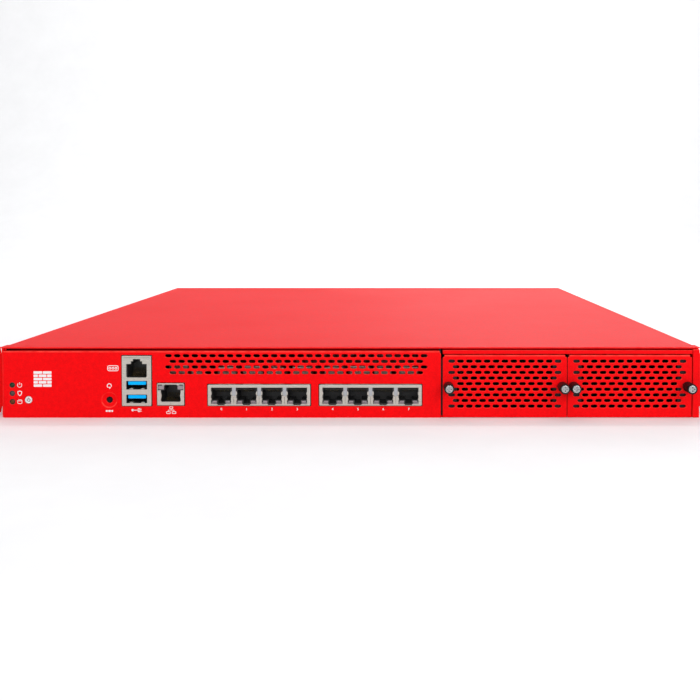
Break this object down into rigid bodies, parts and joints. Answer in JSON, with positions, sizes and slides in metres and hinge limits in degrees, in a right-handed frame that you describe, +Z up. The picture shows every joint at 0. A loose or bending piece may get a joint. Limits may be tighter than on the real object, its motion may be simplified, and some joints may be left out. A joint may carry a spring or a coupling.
{
  "type": "rack firewall appliance",
  "caption": "Red rack-mounted network firewall with jack and USB ports, module bays behind vented filler panels held by thumb screws, rear fans and slide-in power modules.",
  "frame": {"origin": "centre of the chassis's underside", "axes": "+X right as seen from the front, +Y from the front to the rear, +Z up"},
  "size_m": [0.4826, 0.4989, 0.0444],
  "materials": {
    "red_paint": "fine satin powder coat",
    "zinc_sheet": "zinc-plated sheet",
    "nickel": "nickel-plated, satin",
    "screw_steel": "turned and plated",
    "black_plastic": "moulded, satin",
    "knob_black": "knurled",
    "blue_plastic": "moulded",
    "power_lens": "green lens",
    "arm_lens": "grey lens",
    "storage_lens": "amber lens",
    "button_plastic": "moulded",
    "circuit_board": "solder mask",
    "fin_aluminium": "extruded",
    "drive_case": "brushed",
    "cell_steel": "bright",
    "handle_steel": "bent wire, plated",
    "release_green": "moulded"
  },
  "bodies": {
    "chassis": {"chassis_base": "red_paint", "top_cover": "red_paint", "front_panel": "red_paint", "bay_rail": "red_paint", "bay_wall": "zinc_sheet", "bay_frame": "zinc_sheet", "bay_backplane": "circuit_board", "rear_panel": "zinc_sheet", "rack_ear_left": "red_paint", "rack_ear_right": "red_paint", "console_usb_shell": "nickel", "console_jack_insert": "black_plastic", "usb_tongue_upper": "blue_plastic", "usb_tongue_lower": "blue_plastic", "management_jack_shell": "nickel", "management_jack_insert": "black_plastic", "port_bank_a_shell": "nickel", "port_bank_a_insert": "black_plastic", "port_bank_b_shell": "nickel", "port_bank_b_insert": "black_plastic", "status_light_power": "power_lens", "status_light_arm": "arm_lens", "status_light_storage": "storage_lens", "control_board": "circuit_board", "main_board": "circuit_board", "processor_heat_sink": "fin_aluminium", "memory_module_1": "circuit_board", "memory_module_2": "circuit_board", "backup_cell": "cell_steel", "drive_bracket": "zinc_sheet", "storage_drive": "drive_case", "fan_frame_1": "black_plastic", "fan_frame_2": "black_plastic", "fan_frame_3": "black_plastic", "power_midplane": "circuit_board"},
    "filler_1": {"filler_panel_1": "red_paint"},
    "filler_2": {"filler_panel_2": "red_paint"},
    "thumb_1": {"thumb_screw_1": "screw_steel", "thumb_knob_1": "knob_black"},
    "thumb_2": {"thumb_screw_2": "screw_steel", "thumb_knob_2": "knob_black"},
    "thumb_3": {"thumb_screw_3": "screw_steel", "thumb_knob_3": "knob_black"},
    "thumb_4": {"thumb_screw_4": "screw_steel", "thumb_knob_4": "knob_black"},
    "power_button": {"power_button": "button_plastic"},
    "reset_button": {"reset_button": "button_plastic"},
    "fan_rotor_1": {"fan_rotor_1": "black_plastic"},
    "fan_rotor_2": {"fan_rotor_2": "black_plastic"},
    "fan_rotor_3": {"fan_rotor_3": "black_plastic"},
    "power_module_1": {"power_case_1": "zinc_sheet", "power_handle_1": "handle_steel", "power_inlet_1": "black_plastic"},
    "power_latch_1": {"power_latch_1": "release_green"},
    "power_rotor_1": {"power_rotor_1": "black_plastic"},
    "power_module_2": {"power_case_2": "zinc_sheet", "power_handle_2": "handle_steel", "power_inlet_2": "black_plastic"},
    "power_latch_2": {"power_latch_2": "release_green"},
    "power_rotor_2": {"power_rotor_2": "black_plastic"}
  },
  "joints": [
    {"name": "filler_1_slide", "type": "slide", "parent": "chassis", "child": "filler_1", "axis": [0, -1, 0], "range_m": [0, 0.03]},
    {"name": "filler_2_slide", "type": "slide", "parent": "chassis", "child": "filler_2", "axis": [0, -1, 0], "range_m": [0, 0.03]},
    {"name": "thumb_1_spin", "type": "hinge", "parent": "filler_1", "child": "thumb_1", "pos_m": [0.0615, -0.234, 0.02], "axis": [0, 1, 0], "continuous": true},
    {"name": "thumb_2_spin", "type": "hinge", "parent": "filler_1", "child": "thumb_2", "pos_m": [0.1327, -0.234, 0.02], "axis": [0, 1, 0], "continuous": true},
    {"name": "thumb_3_spin", "type": "hinge", "parent": "filler_2", "child": "thumb_3", "pos_m": [0.1397, -0.234, 0.02], "axis": [0, 1, 0], "continuous": true},
    {"name": "thumb_4_spin", "type": "hinge", "parent": "filler_2", "child": "thumb_4", "pos_m": [0.2109, -0.234, 0.02], "axis": [0, 1, 0], "continuous": true},
    {"name": "power_button_press", "type": "slide", "parent": "chassis", "child": "power_button", "axis": [0, 1, 0], "range_m": [0, 0.001], "stiffness_N_per_m": 1500, "springref_m": -0.001},
    {"name": "reset_button_press", "type": "slide", "parent": "chassis", "child": "reset_button", "axis": [0, 1, 0], "range_m": [0, 0.0006], "stiffness_N_per_m": 1500, "springref_m": -0.0006},
    {"name": "fan_rotor_1_spin", "type": "hinge", "parent": "chassis", "child": "fan_rotor_1", "pos_m": [-0.0732, 0.2165, 0.0223], "axis": [0, 1, 0], "continuous": true},
    {"name": "fan_rotor_2_spin", "type": "hinge", "parent": "chassis", "child": "fan_rotor_2", "pos_m": [-0.0252, 0.2165, 0.0223], "axis": [0, 1, 0], "continuous": true},
    {"name": "fan_rotor_3_spin", "type": "hinge", "parent": "chassis", "child": "fan_rotor_3", "pos_m": [0.0228, 0.2165, 0.0223], "axis": [0, 1, 0], "continuous": true},
    {"name": "power_module_1_slide", "type": "slide", "parent": "chassis", "child": "power_module_1", "axis": [0, 1, 0], "range_m": [0, 0.2]},
    {"name": "power_latch_1_slide", "type": "slide", "parent": "power_module_1", "child": "power_latch_1", "axis": [-1, 0, 0], "range_m": [0, 0.003], "stiffness_N_per_m": 800, "springref_m": -0.001},
    {"name": "power_rotor_1_spin", "type": "hinge", "parent": "power_module_1", "child": "power_rotor_1", "pos_m": [-0.1971, 0.223, 0.0215], "axis": [0, 1, 0], "continuous": true},
    {"name": "power_module_2_slide", "type": "slide", "parent": "chassis", "child": "power_module_2", "axis": [0, 1, 0], "range_m": [0, 0.2]},
    {"name": "power_latch_2_slide", "type": "slide", "parent": "power_module_2", "child": "power_latch_2", "axis": [-1, 0, 0], "range_m": [0, 0.003], "stiffness_N_per_m": 800, "springref_m": -0.001},
    {"name": "power_rotor_2_spin", "type": "hinge", "parent": "power_module_2", "child": "power_rotor_2", "pos_m": [-0.1406, 0.223, 0.0215], "axis": [0, 1, 0], "continuous": true}
  ]
}
